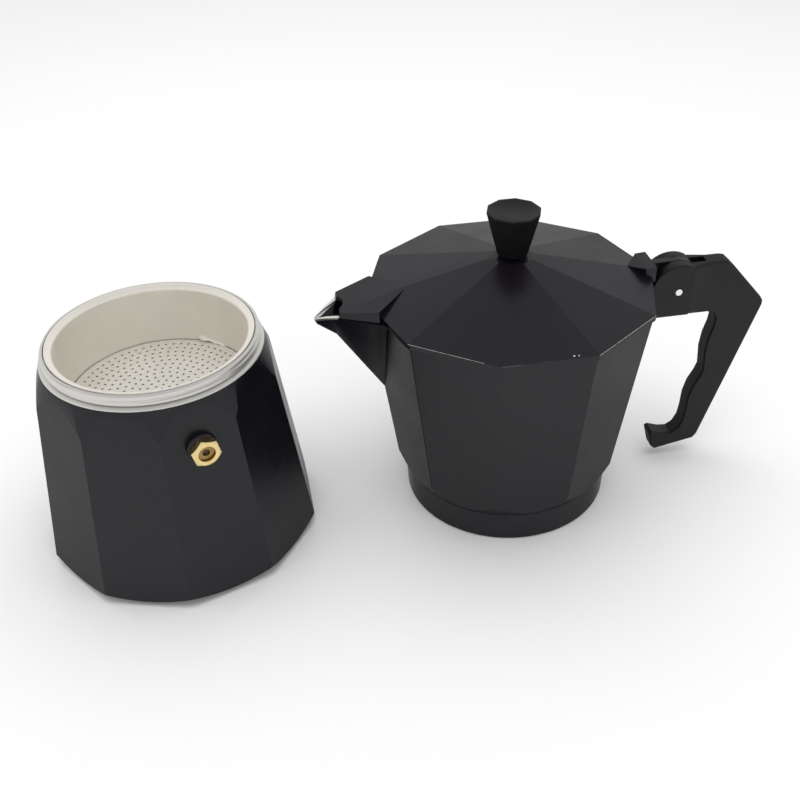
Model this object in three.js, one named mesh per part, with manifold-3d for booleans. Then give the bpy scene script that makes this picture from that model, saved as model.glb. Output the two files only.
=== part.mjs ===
// Stove-top moka pot, unscrewed, its two halves standing side by side.
// Millimetres, +Z up, origin at the middle of the boiler's base, +X along the line
// from the spout to the handle.

import * as THREE from "three";
import { mergeVertices } from "three/addons/utils/BufferGeometryUtils.js";
import { ConvexGeometry } from "three/addons/geometries/ConvexGeometry.js";
import Module from "manifold-3d";

const wasm = await Module();
wasm.setup();

const SIDES = 10;
const HALF_SIDE = Math.PI / SIDES;
const ROUND = 64;
const GAP = 0.3;

// Boiler
const BOILER_TURN = 19.66;
const BOILER_FOOT_RADIUS = 52;
const BOILER_CORNER_LOW = 57.27;
const BOILER_CORNER_LOW_Z = 4.6;
const BOILER_CORNER_HIGH = 47.96;
const BOILER_CORNER_HIGH_Z = 78;
const SHOULDER_RADIUS = 43.4;
const SHOULDER_Z = 89.7;
const NECK_RADIUS = 42;
const NECK_TOP = 95.6;
const NECK_BORE = 38.3;
const BOILER_FLOOR = 4.2;

// Funnel
const FLANGE_RADIUS = 40.2;
const FLANGE_SEAT = 93.9;
const BOWL_OUTER = 37.9;
const BOWL_INNER = 37.3;
const STRAINER_Z = 68.6;
const PLATE_THICKNESS = 0.6;
const STEM_OUTER = 5.1;
const STEM_INNER = 4.2;
const STEM_BOTTOM = 7.5;

// Safety valve, measured outward from the boiler's axis
const VALVE_AZIMUTH = -70.34;
const VALVE_Z = 71.1;
const VALVE_FACE = 52.1;
const VALVE_HEAD_BACK = 49.1;
const BOSS_END = 48;
const BOSS_RADIUS = 6;
const SHANK_RADIUS = 4;
const HEX_RADIUS = 6;
const HEX_TURN = -17;

// Collector
const COLLECTOR_X = 145.7;
const COLLECTOR_Y = -0.7;
const COLLAR_RADIUS = 45.4;
const COLLAR_TOP = 14;
const BODY_LOW_RADIUS = 49.72;
const BODY_LOW_Z = 21.35;
const BODY_TOP_RADIUS = 60.3;
const BODY_TOP = 98.7;
const BODY_WALL = 2.75;
const BODY_FLOOR = 19;
const GASKET_BORE = 41.1;
const COLUMN_TOP = 73;

// Lid, knob, handle
const LID_RADIUS = 61.3;
const LID_BOTTOM = 99;
const LID_EDGE = 101.2;
const LID_TOP = 114.6;
const LID_TOP_RADIUS = 8.4;
const LID_BACK = 60.6;
const KNOB_BOTTOM = 115.5;
const KNOB_TOP = 134.6;
const KNOB_LOW_RADIUS = 6.3;
const KNOB_HIGH_RADIUS = 11.3;
const HINGE_X = 72;
const HINGE_Z = 92.5;
const PIN_RADIUS = 1.5;
const KNUCKLE_RADIUS = 4.4;
const HINGE_HALF_WIDTH = 7;
const GRIP_HALF_WIDTH = 4;
const HANDLE_TOP = 103.5;
const HUMP_RADIUS = 12.6;

const PAINT = material("black_paint", 0x26272a, 0.4, 0.5);
const ALUMINIUM = material("raw_aluminium", 0xb4b2ac, 0.9, 0.35);
const BRASS = material("brass", 0xcdb36a, 1, 0.3);
const STEEL = material("steel", 0xc8c9cb, 1, 0.25);
const PLASTIC = material("handle_plastic", 0x1d1d1f, 0, 0.45);
const RUBBER = material("gasket_rubber", 0xd9d6cc, 0, 0.7);
const FIBRE = material("valve_fibre", 0x6b3b2a, 0, 0.8);

function material(name, color, metalness, roughness) {
  const made = new THREE.MeshStandardMaterial({ color, metalness, roughness });
  made.name = name;
  return made;
}

// Geometry helpers

function welded(geometry) {
  const bare = geometry.clone();
  bare.deleteAttribute("normal");
  bare.deleteAttribute("uv");
  return mergeVertices(bare, 1e-4);
}

function signedVolume(geometry) {
  const p = geometry.getAttribute("position");
  const index = geometry.index.array;
  const a = new THREE.Vector3();
  const b = new THREE.Vector3();
  const c = new THREE.Vector3();
  let total = 0;
  for (let i = 0; i < index.length; i += 3) {
    a.fromBufferAttribute(p, index[i]);
    b.fromBufferAttribute(p, index[i + 1]);
    c.fromBufferAttribute(p, index[i + 2]);
    total += a.dot(b.cross(c));
  }
  return total / 6;
}

// A manifold solid from a closed three.js geometry, whichever way its faces wind.
function solid(geometry) {
  const g = welded(geometry);
  const index = Uint32Array.from(g.index.array);
  if (signedVolume(g) < 0) {
    for (let i = 0; i < index.length; i += 3) {
      [index[i], index[i + 1]] = [index[i + 1], index[i]];
    }
  }
  const vertProperties = Float32Array.from(g.getAttribute("position").array);
  return new wasm.Manifold(new wasm.Mesh({ numProp: 3, vertProperties, triVerts: index }));
}

function toGeometry(body) {
  const m = body.getMesh();
  const g = new THREE.BufferGeometry();
  g.setAttribute("position", new THREE.BufferAttribute(Float32Array.from(m.vertProperties), 3));
  g.setIndex(Array.from(m.triVerts));
  g.computeVertexNormals();
  return g;
}

function node(name, body, slot) {
  const mesh = new THREE.Mesh(toGeometry(body), slot);
  mesh.name = name;
  return mesh;
}

// A solid turned about Z from [radius, height] pairs; a profile off the axis closes on itself.
function turned(profile, segments = ROUND) {
  const points = profile.map(([r, z]) => new THREE.Vector2(r, z));
  const first = points[0];
  const last = points[points.length - 1];
  if (first.x > 0 || last.x > 0) {
    points.push(first.clone());
  }
  const g = new THREE.LatheGeometry(points, segments);
  g.rotateX(Math.PI / 2);
  return solid(g);
}

// A turned solid lying along the valve's axis.
function valveTurned(profile, segments = 32) {
  const points = profile.map(([r, s]) => new THREE.Vector2(r, s));
  if (points[0].x > 0) {
    points.push(points[0].clone());
  }
  const g = new THREE.LatheGeometry(points, segments);
  g.rotateZ(-Math.PI / 2);
  return solid(ontoValveAxis(g));
}

function ontoValveAxis(geometry) {
  geometry.rotateZ(THREE.MathUtils.degToRad(VALVE_AZIMUTH));
  geometry.translate(0, 0, VALVE_Z);
  return geometry;
}

// A ten-sided frustum with a corner at the given angle from +X.
function tenSided(lowRadius, lowZ, highRadius, highZ, cornerDegrees = 0) {
  const g = new THREE.CylinderGeometry(highRadius, lowRadius, highZ - lowZ, SIDES);
  g.rotateX(Math.PI / 2);
  g.rotateZ(HALF_SIDE + THREE.MathUtils.degToRad(cornerDegrees));
  g.translate(0, 0, (lowZ + highZ) / 2);
  return solid(g);
}

function hull(points) {
  return solid(new ConvexGeometry(points.map(([x, y, z]) => new THREE.Vector3(x, y, z))));
}

// The same points on both sides of the handle plane.
function mirrored(points) {
  return points.flatMap(([x, y, z]) => (y === 0 ? [[x, y, z]] : [[x, y, z], [x, -y, z]]));
}

// A side-view outline in X and Z, given thickness between two Y planes.
function plate(outline, yFrom, yTo, bevel = 0) {
  const shape = new THREE.Shape(outline.map(([x, z]) => new THREE.Vector2(x, z)));
  const g = new THREE.ExtrudeGeometry(shape, {
    depth: yTo - yFrom - 2 * bevel,
    bevelEnabled: bevel > 0,
    bevelThickness: bevel,
    bevelSize: bevel,
    bevelOffset: -bevel,
    bevelSegments: 3,
  });
  g.rotateX(Math.PI / 2);
  g.translate(0, yTo - bevel, 0);
  return solid(g);
}

function crosswise(radius, x, z, halfLength, segments = 32) {
  const g = new THREE.CylinderGeometry(radius, radius, 2 * halfLength, segments);
  g.translate(x, 0, z);
  return solid(g);
}

function upright(radius, x, y, zFrom, zTo, segments = 32) {
  const g = new THREE.CylinderGeometry(radius, radius, zTo - zFrom, segments);
  g.rotateX(Math.PI / 2);
  g.translate(x, y, (zFrom + zTo) / 2);
  return solid(g);
}

function arc(x, z, radius, fromDegrees, toDegrees, steps) {
  return Array.from({ length: steps + 1 }, (_, i) => {
    const a = THREE.MathUtils.degToRad(fromDegrees + ((toDegrees - fromDegrees) * i) / steps);
    return [x + radius * Math.cos(a), z + radius * Math.sin(a)];
  });
}

// A thin round plate pierced by rings of holes.
function pierced(radius, zFrom, holeRadius, pitch, rings) {
  const shape = new THREE.Shape();
  shape.absarc(0, 0, radius, 0, 2 * Math.PI);
  for (let ring = 0; ring <= rings; ring += 1) {
    const count = ring === 0 ? 1 : 6 * ring;
    for (let i = 0; i < count; i += 1) {
      const a = (2 * Math.PI * i) / count;
      const hole = new THREE.Path();
      const corners = Array.from({ length: 6 }, (_, k) => {
        const t = (Math.PI * k) / 3;
        const x = ring * pitch * Math.cos(a) + holeRadius * Math.cos(t);
        const y = ring * pitch * Math.sin(a) + holeRadius * Math.sin(t);
        return new THREE.Vector2(x, y);
      });
      hole.setFromPoints(corners);
      shape.holes.push(hole);
    }
  }
  const g = new THREE.ExtrudeGeometry(shape, {
    depth: PLATE_THICKNESS,
    bevelEnabled: false,
    curveSegments: 32,
  });
  g.translate(0, 0, zFrom);
  return solid(g);
}

// Boiler half

function boilerCorner(z) {
  const slope = (BOILER_CORNER_LOW - BOILER_CORNER_HIGH) / (BOILER_CORNER_HIGH_Z - BOILER_CORNER_LOW_Z);
  return BOILER_CORNER_LOW - slope * (z - BOILER_CORNER_LOW_Z);
}

function boiler() {
  const facets = tenSided(boilerCorner(-1), -1, boilerCorner(98), 98, BOILER_TURN);
  const shell = turned([
    [0, 0],
    [BOILER_FOOT_RADIUS, 0],
    [60, 7],
    [60, 47.1],
    [SHOULDER_RADIUS, SHOULDER_Z],
    [SHOULDER_RADIUS, SHOULDER_Z + 1],
    [NECK_RADIUS - 0.8, SHOULDER_Z + 1.3],
    [NECK_RADIUS - 0.8, SHOULDER_Z + 1.8],
    [NECK_RADIUS, SHOULDER_Z + 2.1],
    [NECK_RADIUS, NECK_TOP - 0.9],
    [NECK_RADIUS - 0.25, NECK_TOP - 0.3],
    [NECK_RADIUS - 0.8, NECK_TOP],
    [FLANGE_RADIUS + 0.4, NECK_TOP],
    [FLANGE_RADIUS + 0.4, FLANGE_SEAT],
    [NECK_BORE, FLANGE_SEAT],
    [NECK_BORE, 88],
    [41.5, 80],
    [50, 9],
    [47, BOILER_FLOOR],
    [0, BOILER_FLOOR],
  ], 80);
  const boss = valveTurned([
    [0, 43.8],
    [BOSS_RADIUS, 43.8],
    [BOSS_RADIUS, BOSS_END - 0.6],
    [BOSS_RADIUS - 0.6, BOSS_END],
    [0, BOSS_END],
  ]);
  const bore = valveTurned([
    [0, 36],
    [SHANK_RADIUS + GAP, 36],
    [SHANK_RADIUS + GAP, 60],
    [0, 60],
  ]);
  return facets.intersect(shell).add(boss).subtract(bore);
}

function funnelBowl() {
  return turned([
    [STEM_OUTER + GAP, 57.4],
    [8.8, 57.4],
    [36, 65.4],
    [BOWL_OUTER, 67.6],
    [BOWL_OUTER, FLANGE_SEAT + GAP],
    [FLANGE_RADIUS, FLANGE_SEAT + GAP],
    [FLANGE_RADIUS, NECK_TOP - 0.1],
    [FLANGE_RADIUS - 0.2, NECK_TOP + 0.2],
    [FLANGE_RADIUS - 0.6, NECK_TOP + 0.3],
    [BOWL_INNER + 0.7, NECK_TOP - 0.55],
    [BOWL_INNER + 0.2, NECK_TOP - 0.9],
    [BOWL_INNER, NECK_TOP - 1.5],
    [BOWL_INNER, STRAINER_Z - GAP],
    [34.9, STRAINER_Z - GAP],
    [34.9, 67.1],
    [8.8, 58.6],
    [STEM_OUTER + GAP, 58.6],
  ]);
}

function funnelStem() {
  return turned([
    [STEM_INNER, STEM_BOTTOM],
    [STEM_OUTER, STEM_BOTTOM],
    [STEM_OUTER, 58.9],
    [7.9, 58.9],
    [7.9, 59.6],
    [STEM_INNER + 0.5, 59.6],
    [STEM_INNER, 59],
  ], 40);
}

function valveBody() {
  const hex = new THREE.CylinderGeometry(HEX_RADIUS, HEX_RADIUS, VALVE_FACE - VALVE_HEAD_BACK, 6);
  hex.rotateY(Math.PI / 6);
  hex.rotateZ(-Math.PI / 2);
  hex.rotateX(THREE.MathUtils.degToRad(HEX_TURN));
  hex.translate((VALVE_FACE + VALVE_HEAD_BACK) / 2, 0, 0);
  const chamfer = valveTurned([
    [0, VALVE_HEAD_BACK - 1],
    [6.6, VALVE_HEAD_BACK - 1],
    [6.6, VALVE_FACE - 0.9],
    [5, VALVE_FACE],
    [0, VALVE_FACE],
  ]);
  const shank = valveTurned([
    [0, 40.2],
    [SHANK_RADIUS, 40.2],
    [SHANK_RADIUS, VALVE_HEAD_BACK + 0.5],
    [0, VALVE_HEAD_BACK + 0.5],
  ]);
  const bore = valveTurned([
    [0, 39],
    [1.3, 39],
    [1.3, 42],
    [2.7, 42.8],
    [2.7, 50],
    [3.4, 50],
    [3.4, VALVE_FACE + 1],
    [0, VALVE_FACE + 1],
  ]);
  return solid(ontoValveAxis(hex)).intersect(chamfer).add(shank).subtract(bore);
}

function valveWasher() {
  return valveTurned([
    [SHANK_RADIUS + GAP, BOSS_END + GAP],
    [5.8, BOSS_END + GAP],
    [5.8, VALVE_HEAD_BACK - GAP],
    [SHANK_RADIUS + GAP, VALVE_HEAD_BACK - GAP],
  ]);
}

function valvePlunger() {
  return valveTurned([
    [0, 42.35],
    [0.9, 42.35],
    [2.3, 43.2],
    [2.3, 44.6],
    [1.1, 44.6],
    [1.1, 48],
    [0, 48],
  ]);
}

function valveCap() {
  return valveTurned([
    [1.45, 50.3],
    [3.1, 50.3],
    [3.1, 51],
    [1.45, 51],
  ]);
}

// A round wire coiled about the valve's axis.
function valveSpring() {
  const turns = 4;
  const steps = turns * 14;
  const round = 6;
  const wire = 0.28;
  const coil = 1.8;
  const from = 44.9 + wire;
  const to = 50 - wire;
  const points = [];
  for (let i = 0; i <= steps; i += 1) {
    const a = (2 * Math.PI * turns * i) / steps;
    const s = from + ((to - from) * i) / steps;
    for (let k = 0; k < round; k += 1) {
      const t = (2 * Math.PI * k) / round;
      const r = coil + wire * Math.cos(t);
      points.push(s + wire * Math.sin(t), r * Math.cos(a), r * Math.sin(a));
    }
  }
  const faces = [];
  for (let i = 0; i < steps; i += 1) {
    for (let k = 0; k < round; k += 1) {
      const a = i * round + k;
      const b = i * round + ((k + 1) % round);
      faces.push(a, b, a + round, b, b + round, a + round);
    }
  }
  const end = steps * round;
  for (let k = 1; k < round - 1; k += 1) {
    faces.push(0, k + 1, k);
    faces.push(end, end + k, end + k + 1);
  }
  const g = new THREE.BufferGeometry();
  g.setAttribute("position", new THREE.Float32BufferAttribute(points, 3));
  g.setIndex(faces);
  return solid(ontoValveAxis(g));
}

// Collector half, drawn about its own axis and moved into place at the end

function bodyCorner(z) {
  const slope = (BODY_TOP_RADIUS - BODY_LOW_RADIUS) / (BODY_TOP - BODY_LOW_Z);
  return BODY_LOW_RADIUS + slope * (z - BODY_LOW_Z);
}

function collectorOutside() {
  const facets = tenSided(bodyCorner(12), 12, BODY_TOP_RADIUS, BODY_TOP);
  const waist = turned([
    [0, 8],
    [42.8, 8],
    [COLLAR_RADIUS + 0.5, COLLAR_TOP],
    [BODY_LOW_RADIUS, BODY_LOW_Z],
    [55, 31.5],
    [75, 104],
    [0, 104],
  ]);
  const collar = turned([
    [0, 0],
    [COLLAR_RADIUS - 0.5, 0],
    [COLLAR_RADIUS, 0.5],
    [COLLAR_RADIUS + 0.5, COLLAR_TOP],
    [0, COLLAR_TOP + 1],
  ], 80);
  return facets.intersect(waist).add(collar).add(spoutOutside()).add(spoutLip());
}

function spoutOutside() {
  return hull(mirrored([
    [-52, 18, BODY_TOP],
    [-57.4, 16.4, BODY_TOP],
    [-72.9, 8.1, 98.9],
    [-75.4, 5.9, 98],
    [-75.4, 0, 89.8],
    [-55, 0, 58],
    [-50, 0, 58],
  ]));
}

function spoutLip() {
  return hull(mirrored([
    [-72.9, 8.1, 98.9],
    [-72.9, 0, 86.2],
    [-75.4, 0, 89.8],
    [-80.9, 0.6, 92.7],
    [-81.9, 0.7, 94.9],
    [-80.4, 2, 95.8],
    [-77.5, 4.4, 97.2],
  ]));
}

function spoutChannel() {
  const trough = hull(mirrored([
    [-44, 13, 106],
    [-56, 13.6, 106],
    [-73, 5.9, 106],
    [-56, 13.2, 97],
    [-73.2, 5, 97.4],
    [-74.6, 0, 92.4],
    [-52.4, 0, 61.5],
    [-44, 0, 61.5],
  ]));
  const lip = hull(mirrored([
    [-72.5, 6.2, 106],
    [-72.5, 5.6, 98],
    [-73.5, 0, 92],
    [-80.6, 0, 94.2],
    [-83, 0, 94.6],
    [-80.8, 0.9, 106],
    [-83, 0.5, 106],
  ]));
  return trough.add(lip);
}

// Everything hollowed out from below: thread, gasket seat, filter recess and riser bore.
function collectorUnderside() {
  return turned([
    [0, -1],
    [42.9, -1],
    [42.9, 2],
    [42.3, 2.4],
    [42.3, 3.6],
    [42.9, 4],
    [42.9, 7],
    [GASKET_BORE, 7.6],
    [GASKET_BORE, 11],
    [36, 11],
    [36, 11.9],
    [31, 11.9],
    [5, 15.2],
    [3.4, 16],
    [3.4, 66],
    [0, 66],
  ]);
}

function column() {
  return turned([
    [0, BODY_FLOOR - 2],
    [9.5, BODY_FLOOR - 2],
    [8.6, BODY_FLOOR + 1],
    [5.7, COLUMN_TOP - 3],
    [4.6, COLUMN_TOP - 1],
    [2.4, COLUMN_TOP],
    [0, COLUMN_TOP],
  ], 40);
}

function columnPorts() {
  const g = new THREE.BoxGeometry(16, 3.4, 5);
  g.translate(0, 0, 62.5);
  return solid(g);
}

function hingeEars() {
  const profile = (y) => arc(HINGE_X, HINGE_Z, KNUCKLE_RADIUS, -90, 90, 12).map(([x, z]) => [x, y, z]);
  const ear = (from, to) => hull([
    ...profile(from),
    ...profile(to),
    [57.8, from, 96.9],
    [57.8, to, 96.9],
    [56.9, from, 88.1],
    [56.9, to, 88.1],
  ]);
  return ear(2, 3.9).add(ear(-3.9, -2));
}

function collector() {
  const cavityLow = bodyCorner(BODY_FLOOR) - BODY_WALL;
  const cavityHigh = bodyCorner(110) - BODY_WALL;
  const cavity = tenSided(cavityLow, BODY_FLOOR, cavityHigh, 110);
  return collectorOutside()
    .add(hingeEars())
    .subtract(cavity)
    .subtract(spoutChannel())
    .add(column())
    .subtract(collectorUnderside())
    .subtract(columnPorts())
    .subtract(crosswise(PIN_RADIUS + GAP, HINGE_X, HINGE_Z, 10));
}

function gasket() {
  return turned([
    [32.6, 8],
    [GASKET_BORE - GAP, 8],
    [GASKET_BORE - GAP, 10.7],
    [32.6, 10.7],
  ], 80);
}

function lidShell() {
  const band = tenSided(LID_RADIUS, LID_BOTTOM, LID_RADIUS, LID_EDGE);
  const roof = tenSided(LID_RADIUS, LID_EDGE, LID_TOP_RADIUS, LID_TOP);
  return band.add(roof);
}

function lidHollow() {
  const mouth = tenSided(59, LID_BOTTOM - 1, 59, 99.9);
  const roof = tenSided(59, 99.9, 7.4, 112.8);
  return mouth.add(roof);
}

function spoutCover() {
  return hull(mirrored([
    [-43.6, 0, 105.4],
    [-43.6, 0, 103],
    [-57.2, 14.9, 103.5],
    [-57.2, 15.7, 99.6],
    [-71.9, 8.5, 101.3],
    [-72.3, 8.8, 99.6],
    [-50, 0, 99.6],
  ]));
}

function spoutCoverHollow() {
  return hull(mirrored([
    [-47.5, 0, 103.4],
    [-47.5, 0, 98],
    [-56.8, 12.6, 101.8],
    [-56.8, 13.4, 98],
    [-74, 5.9, 99.4],
    [-74, 6.1, 98],
  ]));
}

function hingeTab() {
  return hull(mirrored([
    [50, 0, 104],
    [50, 0, 102],
    [56, HINGE_HALF_WIDTH, 105.5],
    [LID_BACK, HINGE_HALF_WIDTH, 105.8],
    [56, HINGE_HALF_WIDTH, 100.6],
    [LID_BACK, HINGE_HALF_WIDTH, LID_BOTTOM],
    [LID_BACK, 0, LID_BOTTOM],
  ]));
}

// The rounded leaf that fills the handle's slot, flush with its hump.
function knuckle() {
  return plate([
    [57, 102],
    [LID_BACK + 0.3, LID_BOTTOM],
    ...arc(HINGE_X, HINGE_Z, KNUCKLE_RADIUS, 190, 350, 12),
    ...arc(HINGE_X, HINGE_Z, HUMP_RADIUS, 55, 100, 8),
    [LID_BACK + 0.6, 104.9],
    [57, 105],
  ], -1.7, 1.7);
}

function lid() {
  const behind = new THREE.BoxGeometry(20, 60, 20);
  behind.translate(LID_BACK + 10, 0, LID_BOTTOM + 3);
  const scallop = upright(6.9, -76.8, 0, 95, 110);
  return lidShell()
    .add(spoutCover())
    .subtract(lidHollow())
    .subtract(spoutCoverHollow())
    .subtract(scallop)
    .add(hingeTab())
    .subtract(solid(behind))
    .add(knuckle())
    .subtract(crosswise(PIN_RADIUS + GAP, HINGE_X, HINGE_Z, 10))
    .subtract(upright(2.3, 0, 0, 100, 130));
}

function knob() {
  const facets = tenSided(KNOB_LOW_RADIUS, KNOB_BOTTOM, KNOB_HIGH_RADIUS, KNOB_TOP);
  const cup = turned([
    [0, KNOB_TOP - 1.3],
    [4, KNOB_TOP - 1.15],
    [7.5, KNOB_TOP - 0.7],
    [10.2, KNOB_TOP + 0.1],
    [10.2, KNOB_TOP + 2],
    [0, KNOB_TOP + 2],
  ], 40);
  return facets.subtract(cup).subtract(upright(2.3, 0, 0, KNOB_BOTTOM - 1, KNOB_BOTTOM + 11));
}

function knobWasher() {
  return turned([
    [2.3, LID_TOP + GAP],
    [4.6, LID_TOP + GAP],
    [4.6, KNOB_BOTTOM - 0.25],
    [2.3, KNOB_BOTTOM - 0.25],
  ], 32);
}

function knobScrew() {
  return turned([
    [0, 109.7],
    [3.2, 109.7],
    [4, 110.6],
    [4, 112.4],
    [2, 112.4],
    [2, KNOB_BOTTOM + 10],
    [0, KNOB_BOTTOM + 10.6],
  ], 32);
}

function hingePin() {
  return crosswise(PIN_RADIUS, HINGE_X, HINGE_Z, HINGE_HALF_WIDTH + 0.3);
}

// The blade: flat top, raked back, finger waves inside and a hook at the end.
const GRIP = [
  [78, HANDLE_TOP],
  [78, 78.7],
  [88.6, 78.7],
  [91.6, 77.6],
  [93, 74.6],
  [92.6, 70.4],
  [91, 64],
  [90.4, 57],
  [91, 50],
  [91.2, 47.2],
  [90, 43.6],
  [87.4, 38.4],
  [85.9, 32],
  [85.6, 24],
  [84.9, 18.6],
  [83, 14.6],
  [80, 12.6],
  [76, 13],
  [70.4, 15],
  [69, 14],
  [71.2, 5.6],
  [72.9, 4.1],
  [92, 7.7],
  [93.7, 10],
  [114.3, 79.2],
  [114.3, 81.4],
  [113, 83.4],
  [97.6, 100.6],
  [94.8, HANDLE_TOP - 0.4],
  [92.6, HANDLE_TOP],
];

function handle() {
  const grip = plate(GRIP, -GRIP_HALF_WIDTH, GRIP_HALF_WIDTH, 1.1);
  const block = plate([
    [57, 80.4],
    [78, 80.4],
    ...arc(HINGE_X, HINGE_Z, HUMP_RADIUS, 60, 180, 16),
    [57, 92.5],
  ], -HINGE_HALF_WIDTH, HINGE_HALF_WIDTH, 0.8);
  const neck = hull(mirrored([
    [74, 6.2, 81.2],
    [74, 7, 82],
    [74, 7, 102.4],
    [74, 6.2, HANDLE_TOP - 0.1],
    [88, 3, 79],
    [88, 4, 80],
    [88, 4, 102.4],
    [88, 3, HANDLE_TOP - 0.1],
  ]));
  const earSlot = plate([
    [50, 87.7],
    [75.6, 87.7],
    [77.2, 89.5],
    [77.2, 97.4],
    [50, 97.4],
  ], -4.2, 4.2);
  const leafSlot = plate([
    [50, 87.7],
    [71, 87.7],
    ...arc(HINGE_X, HINGE_Z, HUMP_RADIUS + 0.5, -38, 0, 8),
    [HINGE_X + HUMP_RADIUS + 0.5, 112],
    [50, 112],
  ], -2.1, 2.1);
  const wall = tenSided(bodyCorner(60) + 0.4, 60, bodyCorner(110) + 0.4, 110);
  return grip
    .add(block)
    .add(neck)
    .subtract(earSlot)
    .subtract(leafSlot)
    .subtract(wall)
    .subtract(crosswise(PIN_RADIUS + GAP, HINGE_X, HINGE_Z, 10));
}

function moved(mesh) {
  mesh.geometry.translate(COLLECTOR_X, COLLECTOR_Y, 0);
  return mesh;
}

const pot = new THREE.Group();
pot.name = "moka_pot";

pot.add(
  node("boiler", boiler(), PAINT),
  node("funnel_bowl", funnelBowl(), ALUMINIUM),
  node("funnel_strainer", pierced(36.9, STRAINER_Z, 0.8, 6.3, 5), ALUMINIUM),
  node("funnel_stem", funnelStem(), ALUMINIUM),
  node("valve_body", valveBody(), BRASS),
  node("valve_washer", valveWasher(), FIBRE),
  node("valve_plunger", valvePlunger(), BRASS),
  node("valve_spring", valveSpring(), STEEL),
  node("valve_cap", valveCap(), BRASS),
);

pot.add(
  moved(node("collector", collector(), PAINT)),
  moved(node("filter_plate", pierced(35.6, 11, 0.9, 6.6, 4), ALUMINIUM)),
  moved(node("gasket", gasket(), RUBBER)),
  moved(node("lid", lid(), PAINT)),
  moved(node("knob", knob(), PLASTIC)),
  moved(node("knob_washer", knobWasher(), ALUMINIUM)),
  moved(node("knob_screw", knobScrew(), STEEL)),
  moved(node("hinge_pin", hingePin(), STEEL)),
  moved(node("handle", handle(), PLASTIC)),
);

export default pot;
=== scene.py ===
import math

import bmesh
import bpy
from mathutils import Matrix, Vector


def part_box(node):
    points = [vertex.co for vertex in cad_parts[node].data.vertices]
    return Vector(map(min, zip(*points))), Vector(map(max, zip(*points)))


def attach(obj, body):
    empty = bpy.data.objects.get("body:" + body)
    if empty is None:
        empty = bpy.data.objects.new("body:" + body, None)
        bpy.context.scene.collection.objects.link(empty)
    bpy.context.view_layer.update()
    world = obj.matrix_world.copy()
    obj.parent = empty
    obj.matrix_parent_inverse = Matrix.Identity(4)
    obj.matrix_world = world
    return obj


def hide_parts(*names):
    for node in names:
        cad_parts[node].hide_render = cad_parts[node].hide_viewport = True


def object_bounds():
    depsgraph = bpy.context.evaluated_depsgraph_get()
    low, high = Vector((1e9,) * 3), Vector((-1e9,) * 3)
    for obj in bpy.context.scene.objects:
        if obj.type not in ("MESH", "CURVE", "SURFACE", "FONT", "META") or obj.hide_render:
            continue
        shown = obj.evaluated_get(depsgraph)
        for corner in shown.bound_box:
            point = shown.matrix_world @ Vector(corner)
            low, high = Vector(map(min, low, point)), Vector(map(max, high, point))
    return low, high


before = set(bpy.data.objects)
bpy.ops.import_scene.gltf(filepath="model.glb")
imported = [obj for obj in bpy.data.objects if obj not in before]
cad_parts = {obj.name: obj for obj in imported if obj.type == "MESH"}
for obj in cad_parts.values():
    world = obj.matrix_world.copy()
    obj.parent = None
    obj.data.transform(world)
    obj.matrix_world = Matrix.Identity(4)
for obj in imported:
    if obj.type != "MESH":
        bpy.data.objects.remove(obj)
CAD_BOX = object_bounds()
MM = 0.001
SIDES = 10
COLLECTOR = Vector((0.1457, -0.0007, 0))  # the collector half's axis, on the table

PAINT_IOR = 1.4
PLASTIC_IOR = 1.355
BARE_METAL = (0.78, 0.76, 0.72)
# near-black colour that painted shade mixes the paint towards
PAINTED_SHADE_TONE = (0.001, 0.001, 0.0012)

LID_RADIUS = 0.0613
LID_EDGE = 0.1012  # height of the lid's upper edge
LID_RIM = 0.1001  # middle height of the lid's rim
SHOULDER = 0.08972  # the paint ends and the neck begins
BOILER_BORE = 0.0505  # faces nearer the axis than this are the boiler's inside
BOILER_FLOOR = (0.0475, 0.003, 0.006)  # reach and heights of the boiler's inner floor
COVER_ROOT = 0.0505  # the spout cover starts this far from the collector's axis
COVER_FALL = 0.006  # its lower edge comes down by COVER_DROP over this length
COVER_DROP = 0.0004

SIEVE_HOLE = 0.55 * MM
SIEVE_PITCH = 3.05 * MM
SIEVE_RINGS = 11

FLOOR_HALF = 8.0
FLOOR_GAP = 0.0002
HORIZON = 1.0
ZENITH = 0.55
SOFTBOX_WATTS = 9

CAMERA_AT = (0.04777, -0.35262, 0.31043)
CAMERA_TURN, CAMERA_TILT, CAMERA_ROLL = 12.24, 36.4, 0.12  # degrees: from +Y to +X, down, roll
CAMERA_LENS = 45.476
CAMERA_SHIFT = -0.075


# ---------------------------------------------------------------- node materials

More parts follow.
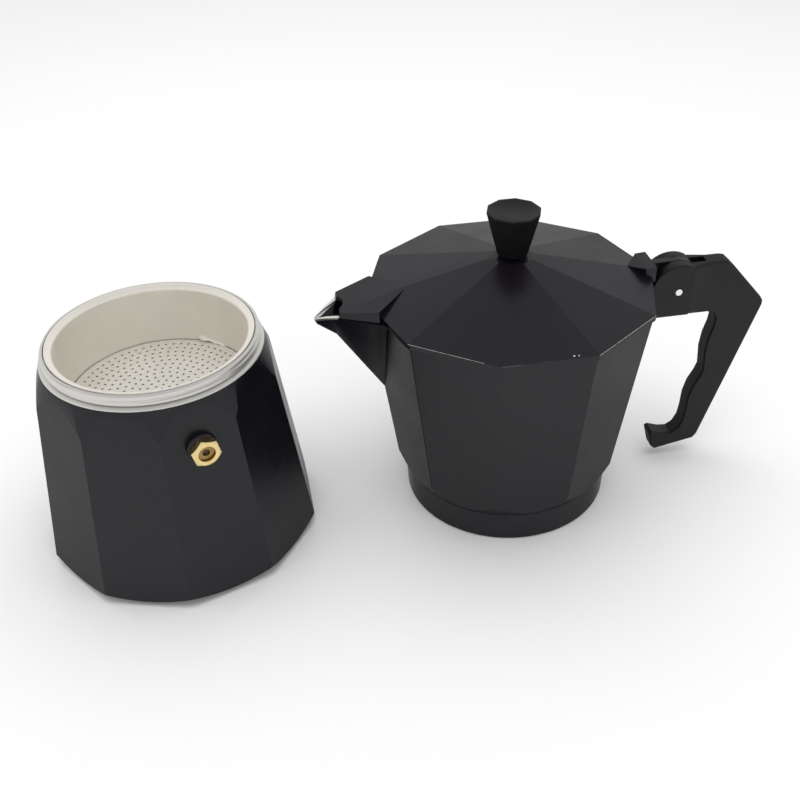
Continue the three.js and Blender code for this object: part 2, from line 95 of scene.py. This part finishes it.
class Graph:
    """A material's node tree, written as short calls. place is the point in the shared frame at rest."""

    def __init__(self, name):
        self.material = bpy.data.materials.new(name)
        self.material.use_nodes = True
        self.tree = self.material.node_tree
        self.tree.nodes.clear()
        self.output = self.tree.nodes.new("ShaderNodeOutputMaterial")
        self.shader = self.tree.nodes.new("ShaderNodeBsdfPrincipled")
        self.tree.links.new(self.shader.outputs[0], self.output.inputs[0])
        self.place = self.tree.nodes.new("ShaderNodeTexCoord").outputs["Object"]

    def put(self, socket, value):
        if isinstance(value, bpy.types.NodeSocket):
            self.tree.links.new(value, socket)
        elif value is not None:
            socket.default_value = value

    def set(self, **values):
        for name, value in values.items():
            self.put(self.shader.inputs[name.replace("_", " ")], value)

    def math(self, operation, a, b=None, clamp=False):
        n = self.tree.nodes.new("ShaderNodeMath")
        n.operation = operation
        n.use_clamp = clamp
        self.put(n.inputs[0], a)
        self.put(n.inputs[1], b)
        return n.outputs[0]

    def vector(self, operation, a, b=None, out=0):
        n = self.tree.nodes.new("ShaderNodeVectorMath")
        n.operation = operation
        self.put(n.inputs[0], a)
        self.put(n.inputs[1], b)
        return n.outputs[out]

    def split(self, v):
        n = self.tree.nodes.new("ShaderNodeSeparateXYZ")
        self.put(n.inputs[0], v)
        return n.outputs

    def join(self, x, y, z):
        n = self.tree.nodes.new("ShaderNodeCombineXYZ")
        for socket, value in zip(n.inputs, (x, y, z)):
            self.put(socket, value)
        return n.outputs[0]

    def satin(self):
        """Specular level of a micro-rough coat, weaker towards grazing view than a smooth one."""
        facing = self.tree.nodes.new("ShaderNodeLayerWeight").outputs["Facing"]
        return self.span(facing, 0.2, 0.78, 0.5, 0.06)

    def noise(self, v, scale, detail=2.0, rough=0.5):
        n = self.tree.nodes.new("ShaderNodeTexNoise")
        self.put(n.inputs["Vector"], v)
        n.inputs["Scale"].default_value = scale
        n.inputs["Detail"].default_value = detail
        n.inputs["Roughness"].default_value = rough
        return n.outputs["Fac"]

    def span(self, value, low, high, out_low=0.0, out_high=1.0):
        n = self.tree.nodes.new("ShaderNodeMapRange")
        n.interpolation_type = "SMOOTHSTEP"
        for socket, v in zip(n.inputs[:5], (value, low, high, out_low, out_high)):
            self.put(socket, v)
        return n.outputs[0]

    def mix(self, amount, a, b):
        n = self.tree.nodes.new("ShaderNodeMix")
        n.data_type = "RGBA"
        self.put(n.inputs["Factor"], amount)
        self.put(n.inputs[6], a)
        self.put(n.inputs[7], b)
        return n.outputs[2]

    def bump(self, height, distance, strength=1.0, under=None):
        n = self.tree.nodes.new("ShaderNodeBump")
        n.inputs["Strength"].default_value = strength
        n.inputs["Distance"].default_value = distance
        self.put(n.inputs["Height"], height)
        if under is not None:
            self.put(n.inputs["Normal"], under)
        return n.outputs[0]


def rgb(r, g, b):
    return (r, g, b, 1.0)


def line_mask(g, ends, near, far, point=None):
    """1 on the straight lines between the given points, fading to 0 from near to far metres away."""
    point = g.place if point is None else point
    total = None
    for a, b in zip(ends, ends[1:]):
        a, b = Vector(a), Vector(b)
        along = b - a
        reach = g.vector("SUBTRACT", point, tuple(a))
        share = g.vector("DOT_PRODUCT", reach, tuple(along), 1)
        share = g.math("DIVIDE", share, along.length_squared, clamp=True)
        foot = g.vector("MULTIPLY", tuple(along), g.join(share, share, share))
        away = g.vector("LENGTH", g.vector("SUBTRACT", reach, foot), None, 1)
        mask = g.span(away, near, far, 1.0, 0.0)
        total = mask if total is None else g.math("MAXIMUM", total, mask)
    return total


def scaled(tone, factor):
    return rgb(*[min(1, c * factor) for c in tone])


def paint(name, tone, bare=None, shade=None):
    """Satin black paint on cast aluminium with a faint orange peel. bare(g) is a mask of the places where
    the metal shows, and shade(g) is one of the places darkened with painted shade."""
    g = Graph(name)
    cloud = g.noise(g.place, 45, 3)
    peel = g.noise(g.place, 1100, 2)
    speck = g.noise(g.place, 2600, 1)
    colour = g.mix(cloud, scaled(tone, 0.8), scaled(tone, 1.25))
    dust = g.span(speck, 0.76, 0.82, 0.0, 0.02)
    colour = g.mix(dust, colour, rgb(0.3, 0.3, 0.3))
    rough = g.span(cloud, 0.3, 0.7, 0.24, 0.31)
    level = g.satin()
    # painted shade: less reflection and a colour nearer black where shade(g) is high
    if shade is not None:
        kept = g.math("SUBTRACT", 1.0, shade(g))
        level = g.math("MULTIPLY", level, kept)
        colour = g.mix(kept, rgb(*PAINTED_SHADE_TONE), colour)
    if bare is not None:
        shown = bare(g)
        colour = g.mix(shown, colour, rgb(*BARE_METAL))
        rough = g.math("ADD", rough, g.math("MULTIPLY", shown, 0.12))
        g.set(Metallic=shown)
    g.set(Base_Color=colour, Roughness=rough, IOR=PAINT_IOR, Specular_IOR_Level=level)
    g.set(Normal=g.bump(peel, 0.00002, 0.15))
    return g.material


def turned_metal(name, centre, tone, rough, depth=0.000012, share=0.75):
    """Bare aluminium with the fine rings that a lathe leaves round the piece's own axis."""
    g = Graph(name)
    x, y, z = g.split(g.vector("SUBTRACT", g.place, tuple(centre)))
    radius = g.vector("LENGTH", g.join(x, y, 0.0), None, 1)
    across = g.join(g.math("MULTIPLY", radius, 60.0), 0.0, g.math("MULTIPLY", z, 60.0))
    rings = g.noise(across, 60, 3, 0.6)
    cloud = g.noise(g.place, 60, 4, 0.55)
    grit = g.noise(g.place, 1500, 2)
    g.set(Base_Color=g.mix(cloud, scaled(tone, 0.9), scaled(tone, 1.08)), Metallic=share)
    g.set(Roughness=g.span(cloud, 0.25, 0.75, rough - 0.05, rough + 0.07))
    g.set(Normal=g.bump(rings, depth, 0.5, g.bump(grit, 0.00001, 0.3)))
    return g.material


def brass_metal(name, dull, bright):
    """Turned brass, a little tarnished."""
    g = Graph(name)
    cloud = g.noise(g.place, 300, 4, 0.6)
    fine = g.noise(g.place, 2500, 2)
    colour = g.mix(cloud, rgb(*dull), rgb(*bright))
    g.set(Base_Color=colour, Metallic=1.0, Roughness=g.span(cloud, 0.3, 0.7, 0.2, 0.34))
    g.set(Normal=g.bump(fine, 0.00001, 0.3))
    return g.material


def steel_metal():
    """Bright steel wire and pin stock."""
    g = Graph("steel")
    cloud = g.noise(g.place, 400, 3)
    g.set(Base_Color=g.mix(cloud, rgb(0.7, 0.7, 0.71), rgb(0.88, 0.88, 0.89)), Metallic=1.0)
    g.set(Roughness=g.span(cloud, 0.3, 0.7, 0.14, 0.26))
    return g.material


def moulded_plastic(name, grip=False):
    """Black moulded plastic with a fine grain. On the grip, painted shade: the reflection is turned down
    on the faces towards the pot and along the crease of the rounded edge.
    """
    g = Graph(name)
    cloud = g.noise(g.place, 70, 3)
    grain = g.noise(g.place, 1900, 3, 0.65)
    g.set(Base_Color=g.mix(cloud, rgb(0.0028, 0.0028, 0.0034), rgb(0.0055, 0.0055, 0.0066)))
    g.set(Roughness=g.span(cloud, 0.3, 0.7, 0.34, 0.44), IOR=PLASTIC_IOR)
    level = g.satin()
    # painted shade on the grip: less reflection on the faces towards the pot and on the edge's crease
    if grip:
        nx, ny, _ = g.split(g.tree.nodes.new("ShaderNodeTexCoord").outputs["Normal"])
        inner = g.span(nx, -0.55, -0.15, 0.5, 1.0)
        slanting = g.span(nx, -0.5, -0.1, 1.0, 0.0)
        crease = g.math("MULTIPLY", slanting, g.span(ny, -0.9, -0.6, 1.0, 0.0))
        crease = g.math("MULTIPLY", crease, 0.4)
        level = g.math("MULTIPLY", level, g.math("SUBTRACT", inner, crease, clamp=True))
    g.set(Specular_IOR_Level=level)
    g.set(Normal=g.bump(grain, 0.00004, 0.35))
    return g.material


def rubber():
    """Pale silicone for the sealing ring."""
    g = Graph("gasket_rubber")
    cloud = g.noise(g.place, 120, 3)
    grain = g.noise(g.place, 1500, 2)
    g.set(Base_Color=g.mix(cloud, rgb(0.64, 0.62, 0.56), rgb(0.78, 0.76, 0.70)))
    g.set(Roughness=0.65, Normal=g.bump(grain, 0.00003, 0.3))
    return g.material


def fibre():
    """Dark brown fibre for the valve's washer."""
    g = Graph("valve_fibre")
    fleck = g.noise(g.place, 1800, 4, 0.7)
    g.set(Base_Color=g.mix(fleck, rgb(0.018, 0.012, 0.01), rgb(0.045, 0.028, 0.022)))
    g.set(Roughness=0.8, Normal=g.bump(fleck, 0.00006, 0.5))
    return g.material


# ---------------------------------------------------------------- shapes

def as_piece(name, bm, material, smooth=32):
    """A new object from a bmesh, smooth except across edges sharper than the given angle."""
    mesh = bpy.data.meshes.new(name)
    bm.to_mesh(mesh)
    bm.free()
    mesh.polygons.foreach_set("use_smooth", [True] * len(mesh.polygons))
    mesh.set_sharp_from_angle(angle=math.radians(smooth))
    piece = bpy.data.objects.new(name, mesh)
    bpy.context.scene.collection.objects.link(piece)
    mesh.materials.append(material)
    return piece


def settle_normals(piece):
    """Large flat faces keep flat shading and the small rounded edges between them blend."""
    modifier = piece.modifiers.new("normals", "WEIGHTED_NORMAL")
    modifier.mode = "FACE_AREA"
    modifier.weight = 50
    modifier.keep_sharp = True
    return piece


def swept(name, profile, material, segments=180, shift=None, smooth=32):
    """A closed solid turned about Z from [radius, height] pairs in millimetres.
    shift(angle, radius, height) may move the radius of any point."""
    bm = bmesh.new()
    rings = []
    for radius, height in profile:
        ring = []
        for i in range(segments):
            a = 2 * math.pi * i / segments
            r = radius + (shift(a, radius, height) if shift else 0)
            ring.append(bm.verts.new((r * MM * math.cos(a), r * MM * math.sin(a), height * MM)))
        rings.append(ring)
    for low, high in zip(rings, rings[1:] + rings[:1]):
        for i in range(segments):
            j = (i + 1) % segments
            bm.faces.new((low[i], low[j], high[j], high[i]))
    bmesh.ops.recalc_face_normals(bm, faces=bm.faces)
    return as_piece(name, bm, material, smooth)


def joined_faces(node):
    """The CAD node's shape as a bmesh with its coplanar triangles joined."""
    bm = bmesh.new()
    bm.from_mesh(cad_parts[node].data)
    bmesh.ops.remove_doubles(bm, verts=bm.verts, dist=2e-6)
    bmesh.ops.dissolve_limit(
        bm, angle_limit=math.radians(0.6), use_dissolve_boundaries=False,
        verts=bm.verts, edges=bm.edges, delimit={"NORMAL"},
    )
    return bm


def round_edges(bm, width, angle):
    """Bevels the edges sharper than the angle, in degrees."""
    sharp = [
        e for e in bm.edges
        if len(e.link_faces) == 2 and e.calc_face_angle(0) > math.radians(angle)
    ]
    bmesh.ops.bevel(
        bm, geom=sharp, offset=width, offset_type="OFFSET", segments=2,
        profile=0.5, affect="EDGES", clamp_overlap=True,
    )
    return bm


def from_frame(node, name, material, width, angle=20):
    """A piece with the CAD node's own shape and rounded edges."""
    bm = round_edges(joined_faces(node), width, angle)
    return settle_normals(as_piece(name, bm, material, 50))


def sieve_plate(name, node, material, hole, pitch, rings):
    """A thin plate pierced by rings of small holes, in the place of the CAD node's plate."""
    low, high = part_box(node)
    curve = bpy.data.curves.new(name, "CURVE")
    curve.dimensions = "2D"
    curve.fill_mode = "BOTH"
    curve.extrude = (high.z - low.z) / 2

    def circle(x, y, radius, count):
        spline = curve.splines.new("POLY")
        spline.points.add(count - 1)
        for k, p in enumerate(spline.points):
            a = 2 * math.pi * k / count
            p.co = (x + radius * math.cos(a), y + radius * math.sin(a), 0, 1)
        spline.use_cyclic_u = True

    circle(0, 0, (high.x - low.x) / 2, 120)
    for ring in range(rings + 1):
        count = 1 if ring == 0 else 6 * ring
        for i in range(count):
            a = 2 * math.pi * i / count + 0.4 * ring
            circle(ring * pitch * math.cos(a), ring * pitch * math.sin(a), hole, 10)
    outline = bpy.data.objects.new(name + "_outline", curve)
    bpy.context.scene.collection.objects.link(outline)
    graph = bpy.context.evaluated_depsgraph_get()
    mesh = bpy.data.meshes.new_from_object(outline.evaluated_get(graph))
    bpy.data.objects.remove(outline)
    mesh.transform(Matrix.Translation((low + high) / 2))
    bm = bmesh.new()
    bm.from_mesh(mesh)
    bpy.data.meshes.remove(mesh)
    bmesh.ops.remove_doubles(bm, verts=bm.verts, dist=1e-6)
    return as_piece(name, bm, material, 40)


def stand_for(piece, body, slot, *nodes):
    """Puts the piece on its body, in place of the CAD nodes."""
    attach(piece, body)
    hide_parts(*nodes)
    return piece


# ---------------------------------------------------------------- the pot

def on_collector(degrees, radius, z):
    """A point at an azimuth and radius about the collector's axis."""
    a = math.radians(degrees)
    return COLLECTOR + Vector((radius * math.cos(a), radius * math.sin(a), z))


def lid_corner(k, z=LID_EDGE):
    """Corner k of the lid. Corner 9 is on the +X side and corners 5 to 8 face the photograph."""
    return on_collector(360 / SIDES * (k - 9), LID_RADIUS, z)


def worn_lid(g):
    """Paint rubbed off the lid's edge where it is lifted, and two small chips."""
    left = line_mask(g, [lid_corner(5), lid_corner(5).lerp(lid_corner(6), 0.82)], 0.00003, 0.00016)
    right = line_mask(g, [lid_corner(7), lid_corner(8)], 0.00004, 0.00018)
    faint = line_mask(g, [lid_corner(6), lid_corner(6).lerp(lid_corner(7), 0.5)], 0.00004, 0.00016)
    faint = g.math("MULTIPLY", faint, g.span(g.noise(g.place, 130, 2), 0.4, 0.6, 0.0, 0.12))
    big = COLLECTOR + Vector((0.0093, -0.0570, 0.10155))
    small = COLLECTOR + Vector((0.0111, -0.0571, 0.10152))
    step = Vector((0.0001, 0, 0))
    chips = g.math(
        "MAXIMUM", line_mask(g, [big, big + step], 0.00028, 0.00045),
        line_mask(g, [small, small + step], 0.00018, 0.00034),
    )
    fray = g.span(g.noise(g.place, 900, 2), 0.3, 0.55, 0.2, 0.6)
    edges = g.math("MULTIPLY", g.math("MAXIMUM", left, right), fray)
    return g.math("MAXIMUM", g.math("MAXIMUM", edges, faint), chips)


def shaded_lid(g):
    """Painted shade: a darkened band on the lid's rim beside the spout cover, where the gap under the
    lid's edge is in shadow.
    """
    end = lid_corner(5, LID_RIM)
    start = lid_corner(4, LID_RIM).lerp(end, 0.42)
    band = line_mask(g, [start, end], 0.0007, 0.0012)
    return g.math("MULTIPLY", band, 0.8)


def shaded_pot(g):
    """Painted shade: a darkened line down the front left edge, and shade in the corner beside the spout,
    under the lid's edge.
    """
    ridge = [on_collector(-144, 0.0603, 0.0986), on_collector(-144, 0.0497, 0.0214)]
    edge = g.math("MULTIPLY", line_mask(g, ridge, 0.0001, 0.00045), 0.75)
    root = [Vector((-0.0554, -0.0153, 0.0987)), Vector((-0.0546, -0.0020, 0.0620))]
    corner = line_mask(g, [COLLECTOR + p for p in root], 0.0004, 0.0048)
    fall = g.span(g.split(g.place)[2], 0.068, 0.098, 0.15, 0.75)
    return g.math("MAXIMUM", edge, g.math("MULTIPLY", corner, fall))


def bare_lip(g):
    """The machined rim of the spout's lip, the same on both sides of the handle's plane, and a wider
    band on the far side, where the inside of the lip shows."""
    local = g.vector("SUBTRACT", g.place, tuple(COLLECTOR))
    x, y, z = g.split(local)
    folded = g.join(x, g.math("ABSOLUTE", y), z)
    rim = [
        (-0.0731, 0.0072, 0.0988), (-0.0775, 0.0040, 0.0972),
        (-0.0804, 0.0017, 0.0958), (-0.0819, 0.0003, 0.0949),
    ]
    both = line_mask(g, rim, 0.0007, 0.001, folded)
    return g.math("MAXIMUM", both, line_mask(g, rim[:3], 0.0013, 0.0018, local))


def groove(a, radius, height):
    """The screw thread's single groove, fading out at the front of the neck. Millimetres."""
    if radius < 41.5 or height < 92:
        return 0
    turn = (math.degrees(a) + 34 + 96) % 360 - 96
    middle = 93.6 + 2.9 * turn / 360
    fade = min(1.0, max(0.0, (turn + 90) / 60))
    shape = max(0.0, 1 - ((height - middle) / 0.62) ** 2)
    return -0.75 * fade * shape


def neck(material):
    """The bare neck: a foot ring, a groove above it, the threaded wall and the seat for the funnel."""
    foot = [(43.2, 89.76), (43.4, 89.9), (43.4, 90.15), (43.15, 90.5), (42.4, 90.9), (41.4, 91.0)]
    gap = [(41.25, 91.05), (41.25, 91.3), (41.9, 91.45), (42, 91.6)]
    wall = [(42, 91.8 + 0.14 * k) for k in range(21)]
    rim = [(41.95, 95.05), (41.75, 95.35), (41.4, 95.53), (41.0, 95.6), (40.7, 95.6), (40.6, 95.5)]
    seat = [(40.6, 94.2), (40.6, 93.9), (38.5, 93.9), (38.3, 93.8), (38.3, 89.76)]
    return swept("boiler_neck", foot + gap + wall + rim + seat, material, 240, groove)


def dent(a, radius, height):
    """A knock low on the funnel's wall, with a crimp trailing off from it. Millimetres."""
    if radius > 37.6 or radius < 37 or height > 74:
        return 0
    turn = math.degrees(a)
    knock = ((turn - 63.5) / 2.4) ** 2 + ((height - 70.3) / 0.9) ** 2
    crimp = ((height - 69.8 - 0.07 * (turn - 55) - 0.25 * math.sin(turn * 0.9)) / 0.45) ** 2
    along = min(1, max(0, (turn - 45) / 3)) * min(1, max(0, (64 - turn) / 3))
    return -1.25 * math.exp(-knock) - 0.8 * along * math.exp(-crimp)


def funnel_wall(material):
    """The basket with its rolled flange and the cone below it."""
    outer = [(5.4, 57.4), (8.8, 57.4), (36, 65.4), (37.4, 66.6), (37.9, 67.6), (37.9, 94.2)]
    rim = [
        (40.2, 94.2), (40.2, 95.5), (40.12, 95.75), (39.9, 95.88), (39.6, 95.88), (39.2, 95.75),
        (38.2, 95.15), (37.8, 94.85), (37.5, 94.4), (37.34, 93.9), (37.3, 93.2),
    ]
    wall = [(37.3, 92 - 2 * k) for k in range(10)] + [(37.3, 73 - 0.2 * k) for k in range(23)]
    bottom = [(37.3, 68.3), (34.9, 68.3), (34.9, 67.1), (8.8, 58.6), (5.4, 58.6)]
    return swept("funnel_wall", outer + rim + wall + bottom, material, 360, dent)


def painted_boiler(paint_material, bare):
    """The casting up to its shoulder, painted outside and bare inside."""
    bm = round_edges(joined_faces("boiler"), 0.0004, 20)
    whole = list(bm.verts) + list(bm.edges) + list(bm.faces)
    cut = bmesh.ops.bisect_plane(
        bm, geom=whole, dist=1e-7, plane_co=(0, 0, SHOULDER), plane_no=(0, 0, 1), clear_outer=True,
    )
    rims = [e for e in cut["geom_cut"] if isinstance(e, bmesh.types.BMEdge)]
    bmesh.ops.bridge_loops(bm, edges=rims)
    bmesh.ops.recalc_face_normals(bm, faces=bm.faces)
    piece = as_piece("boiler_casting", bm, paint_material, 50)
    piece.data.materials.append(bare)
    reach, low, high = BOILER_FLOOR
    for face in piece.data.polygons:
        c = face.center
        out = Vector((c.x, c.y, 0))
        inside = out.length < BOILER_BORE and face.normal.dot(out) < -1e-5
        floor = out.length < reach and low < c.z < high
        underside = c.z < 1e-4
        if inside or floor or underside:
            face.material_index = 1
    return settle_normals(piece)


def droop_cover(roof):
    """Brings the spout cover's lower edge closer to the lip."""
    root = COLLECTOR.x - COVER_ROOT
    for v in roof.data.vertices:
        if v.co.x < root and v.co.z < 0.1:
            v.co.z -= COVER_DROP * min(1, (root - v.co.x) / COVER_FALL)


def make_pot():
    """Every material, the nodes that keep their CAD shape and the pieces that replace the others."""
    black = paint("black_paint", (0.0044, 0.0046, 0.0072))
    pot_black = paint("black_paint_pot", (0.0046, 0.0043, 0.0070), bare_lip, shaded_pot)
    lid_black = paint("black_paint_lid", (0.0054, 0.0040, 0.0070), worn_lid, shaded_lid)
    boiler, grey = (0, 0, 0), (0.66, 0.65, 0.62)
    neck_metal = turned_metal("raw_aluminium_neck", boiler, grey, 0.40, 0.00002, 0.85)
    sheet_metal = turned_metal("raw_aluminium", boiler, (0.86, 0.83, 0.765), 0.46)
    plate_metal = turned_metal("raw_aluminium_plate", boiler, (0.86, 0.84, 0.785), 0.5, share=0.7)
    far_metal = turned_metal("raw_aluminium_far", COLLECTOR, grey, 0.45)
    plastic = moulded_plastic("handle_plastic")
    grip_plastic = moulded_plastic("handle_plastic_grip", True)
    brass = brass_metal("brass", (0.66, 0.47, 0.18), (0.93, 0.78, 0.42))
    tarnished = brass_metal("brass_tarnished", (0.2, 0.12, 0.04), (0.42, 0.29, 0.11))
    # painted shade: the knob's aluminium washer is coloured nearly black to stand for the shade under the
    # knob
    shade_black_metal = turned_metal("raw_aluminium_shade_black", COLLECTOR, (0.07, 0.07, 0.07), 0.55)
    steel = steel_metal()
    kept = {
        "funnel_stem": sheet_metal, "knob_washer": shade_black_metal, "filter_plate": far_metal,
        "valve_cap": tarnished, "valve_plunger": tarnished, "valve_spring": steel,
        "knob_screw": steel, "hinge_pin": steel, "gasket": rubber(), "valve_washer": fibre(),
    }
    for node, material in kept.items():
        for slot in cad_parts[node].material_slots:
            slot.material = material

    stand_for(painted_boiler(black, neck_metal), "boiler_half", "black_paint", "boiler")
    stand_for(neck(neck_metal), "boiler_half", "raw_aluminium", "boiler")
    stand_for(funnel_wall(sheet_metal), "funnel", "raw_aluminium", "funnel_bowl")
    holes = (SIEVE_HOLE, SIEVE_PITCH, SIEVE_RINGS)
    sieve = sieve_plate("funnel_sieve", "funnel_strainer", plate_metal, *holes)
    stand_for(sieve, "funnel", "raw_aluminium", "funnel_strainer")
    hexagon = from_frame("valve_body", "valve_hexagon", brass, 0.00015)
    stand_for(hexagon, "boiler_half", "brass", "valve_body")
    pot = from_frame("collector", "collector_casting", pot_black, 0.0004)
    stand_for(pot, "collector_half", "black_paint", "collector")
    roof = from_frame("lid", "lid_casting", lid_black, 0.0003, 8)
    droop_cover(roof)
    stand_for(roof, "lid_assembly", "black_paint", "lid")
    grip = from_frame("handle", "handle_moulding", grip_plastic, 0.0005)
    stand_for(grip, "collector_half", "handle_plastic", "handle")
    knob = from_frame("knob", "knob_moulding", plastic, 0.0005, 12)
    stand_for(knob, "lid_assembly", "handle_plastic", "knob")


# ---------------------------------------------------------------- floor, light and camera

def make_floor():
    """A plain pale floor, a hair below the part."""
    bm = bmesh.new()
    low, high = CAD_BOX
    middle = (low + high) / 2
    bmesh.ops.create_grid(bm, x_segments=8, y_segments=8, size=FLOOR_HALF)
    bmesh.ops.translate(bm, verts=bm.verts, vec=(middle.x, middle.y, low.z - FLOOR_GAP))
    g = Graph("pale_floor")
    tint = g.noise(g.place, 3, 2)
    g.set(Base_Color=g.mix(tint, rgb(0.87, 0.87, 0.87), rgb(0.9, 0.9, 0.9)), Roughness=0.9)
    as_piece("floor", bm, g.material)


def softbox(name, at, aim, side, power):
    """A square lamp that lights the part and doesn't show in its gloss."""
    lamp = bpy.data.lights.new(name, "AREA")
    lamp.shape = "RECTANGLE"
    lamp.size, lamp.size_y = side, side
    lamp.energy = power
    holder = bpy.data.objects.new(name, lamp)
    bpy.context.scene.collection.objects.link(holder)
    holder.location = at
    holder.rotation_euler = (Vector(aim) - Vector(at)).to_track_quat("-Z", "Y").to_euler()
    holder.visible_glossy = False


def make_light():
    """A white studio, brightest at the horizon and dimmer overhead, with one soft box above."""
    world = bpy.data.worlds.new("studio")
    world.use_nodes = True
    nodes, links = world.node_tree.nodes, world.node_tree.links
    sky = nodes["Background"]
    sky.inputs["Color"].default_value = (1, 1, 1, 1)
    place = nodes.new("ShaderNodeTexCoord")
    split = nodes.new("ShaderNodeSeparateXYZ")
    ramp = nodes.new("ShaderNodeMapRange")
    ramp.interpolation_type = "SMOOTHSTEP"
    for socket, value in zip(list(ramp.inputs)[1:5], (0.25, 0.95, HORIZON, ZENITH)):
        socket.default_value = value
    links.new(place.outputs["Generated"], split.inputs[0])
    links.new(split.outputs["Z"], ramp.inputs[0])
    links.new(ramp.outputs[0], sky.inputs["Strength"])
    bpy.context.scene.world = world
    softbox("above", (0.1, 0.05, 1.1), (0.085, 0, 0.05), 1.4, SOFTBOX_WATTS)


def make_camera():
    """The photograph's viewpoint."""
    turn, tilt, roll = (math.radians(a) for a in (CAMERA_TURN, CAMERA_TILT, CAMERA_ROLL))
    level = math.cos(tilt)
    ahead = Vector((math.sin(turn) * level, math.cos(turn) * level, -math.sin(tilt)))
    right = Vector((math.cos(turn), -math.sin(turn), 0))
    up = right.cross(ahead)
    r = right * math.cos(roll) + up * math.sin(roll)
    u = up * math.cos(roll) - right * math.sin(roll)
    camera = bpy.data.cameras.new("camera")
    camera.sensor_width = 36
    camera.lens = CAMERA_LENS
    camera.shift_x = CAMERA_SHIFT
    camera.clip_start, camera.clip_end = 0.01, 20
    holder = bpy.data.objects.new("camera", camera)
    bpy.context.scene.collection.objects.link(holder)
    x, y, z = CAMERA_AT
    holder.matrix_world = Matrix((
        (r.x, u.x, -ahead.x, x),
        (r.y, u.y, -ahead.y, y),
        (r.z, u.z, -ahead.z, z),
        (0, 0, 0, 1),
    ))
    bpy.context.scene.camera = holder


make_camera()
make_pot()
make_floor()
make_light()
bpy.context.scene.view_settings.view_transform = "Standard"
